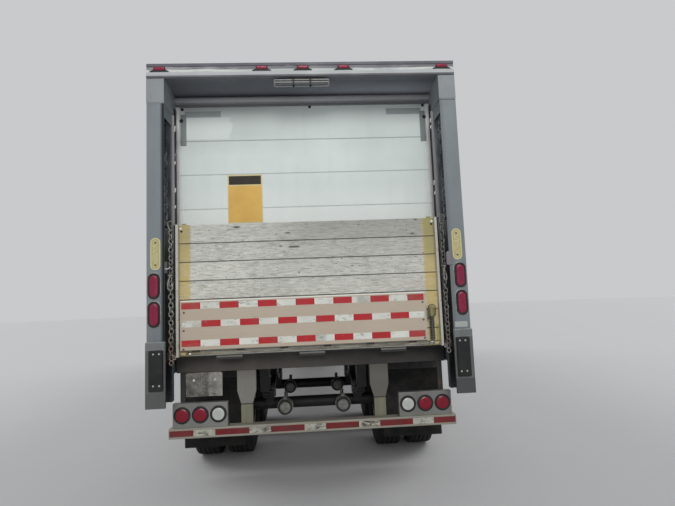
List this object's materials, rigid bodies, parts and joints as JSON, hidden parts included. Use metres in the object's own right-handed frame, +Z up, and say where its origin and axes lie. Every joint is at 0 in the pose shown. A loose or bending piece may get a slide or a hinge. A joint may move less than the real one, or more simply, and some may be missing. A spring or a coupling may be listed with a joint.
{
  "type": "van semi trailer with folding rail lift",
  "caption": "Box van semi trailer on tandem twin wheels and landing legs, with a roll-up door and a rail lift whose platform folds upright behind it.",
  "frame": {"origin": "on the ground, at the middle of the trailer's width and length", "axes": "+X to the right seen from behind, +Y forward to the coupling, +Z up"},
  "size_m": [2.6, 12.587, 3.67],
  "materials": {
    "white_panel": "gloss",
    "bare_aluminium": "satin",
    "floor_wood": "matte",
    "chassis_black": "satin",
    "frame_grey": "satin",
    "boot_grey": "matte",
    "guard_grey": "satin",
    "door_white": "satin",
    "deck_plank": "matte",
    "ramp_plate": "satin",
    "bar_white": "satin",
    "rusty_chain": "matte",
    "black_rubber": "matte",
    "tyre_rubber": "matte",
    "rim_white": "satin",
    "red_lens": "gloss",
    "white_lens": "gloss",
    "amber_lens": "gloss",
    "yellow_plate": "satin",
    "bright_steel": "satin"
  },
  "bodies": {
    "trailer_body": {"side_wall_left": "white_panel", "side_wall_right": "white_panel", "front_wall": "white_panel", "front_corners": "white_panel", "bottom_rails": "bare_aluminium", "front_bottom_rail": "bare_aluminium", "top_rails": "bare_aluminium", "front_top_rail": "bare_aluminium", "roof_panel": "bare_aluminium", "floor_deck": "floor_wood", "crossmembers": "chassis_black", "bogie_frame": "chassis_black", "leaf_springs": "chassis_black", "axles": "chassis_black", "flap_bars": "chassis_black", "landing_legs": "chassis_black", "landing_braces": "chassis_black", "landing_crank": "chassis_black", "coupler_plate": "chassis_black", "rear_sill": "chassis_black", "rear_posts": "frame_grey", "rear_header": "frame_grey", "lift_columns": "frame_grey", "rear_hood": "frame_grey", "column_boots": "boot_grey", "platform_latches": "boot_grey", "lamp_bezels": "boot_grey", "guard_bar": "guard_grey", "guard_uprights": "guard_grey", "lamp_pods": "guard_grey", "roll_door": "door_white", "door_tracks": "door_white", "dock_pads": "black_rubber", "mud_flaps": "black_rubber", "red_lenses": "red_lens", "white_lenses": "white_lens", "amber_lenses": "amber_lens", "oval_plates": "yellow_plate", "kingpin": "bright_steel", "landing_feet": "bright_steel", "front_connectors": "bright_steel", "flood_lamp": "bright_steel", "licence_plate": "bright_steel"},
    "lift_carriage": {"lift_runners": "chassis_black", "carriage_beam": "chassis_black", "lift_chains": "rusty_chain"},
    "inner_platform": {"inner_deck": "deck_plank"},
    "outer_platform": {"outer_deck": "deck_plank", "deck_side_bars": "bar_white", "ramp_spring": "bright_steel"},
    "ramp": {"ramp_plate": "ramp_plate"},
    "wheels_rear_left": {"rims_rear_left": "rim_white", "tyres_rear_left": "tyre_rubber"},
    "wheels_rear_right": {"rims_rear_right": "rim_white", "tyres_rear_right": "tyre_rubber"},
    "wheels_front_left": {"rims_front_left": "rim_white", "tyres_front_left": "tyre_rubber"},
    "wheels_front_right": {"rims_front_right": "rim_white", "tyres_front_right": "tyre_rubber"}
  },
  "joints": [
    {"name": "wheels_rear_left_spin", "type": "hinge", "parent": "trailer_body", "child": "wheels_rear_left", "pos_m": [-0.984, -4.4485, 0.505], "axis": [1, 0, 0], "continuous": true},
    {"name": "wheels_rear_right_spin", "type": "hinge", "parent": "trailer_body", "child": "wheels_rear_right", "pos_m": [0.984, -4.4485, 0.505], "axis": [1, 0, 0], "continuous": true},
    {"name": "wheels_front_left_spin", "type": "hinge", "parent": "trailer_body", "child": "wheels_front_left", "pos_m": [-0.984, -3.2035, 0.505], "axis": [1, 0, 0], "continuous": true},
    {"name": "wheels_front_right_spin", "type": "hinge", "parent": "trailer_body", "child": "wheels_front_right", "pos_m": [0.984, -3.2035, 0.505], "axis": [1, 0, 0], "continuous": true},
    {"name": "lift_slide", "type": "slide", "parent": "trailer_body", "child": "lift_carriage", "axis": [0, 0, -1], "range_m": [0, 1.19]},
    {"name": "platform_fold", "type": "hinge", "parent": "lift_carriage", "child": "inner_platform", "pos_m": [0, -6.1175, 1.262], "axis": [1, 0, 0], "range_deg": [0, 90]},
    {"name": "outer_fold", "type": "hinge", "parent": "inner_platform", "child": "outer_platform", "pos_m": [0, -6.1375, 2.313], "axis": [-1, 0, 0], "range_deg": [0, 180]},
    {"name": "ramp_fold", "type": "hinge", "parent": "outer_platform", "child": "ramp", "pos_m": [0, -6.1935, 1.27], "axis": [1, 0, 0], "range_deg": [0, 188]}
  ]
}
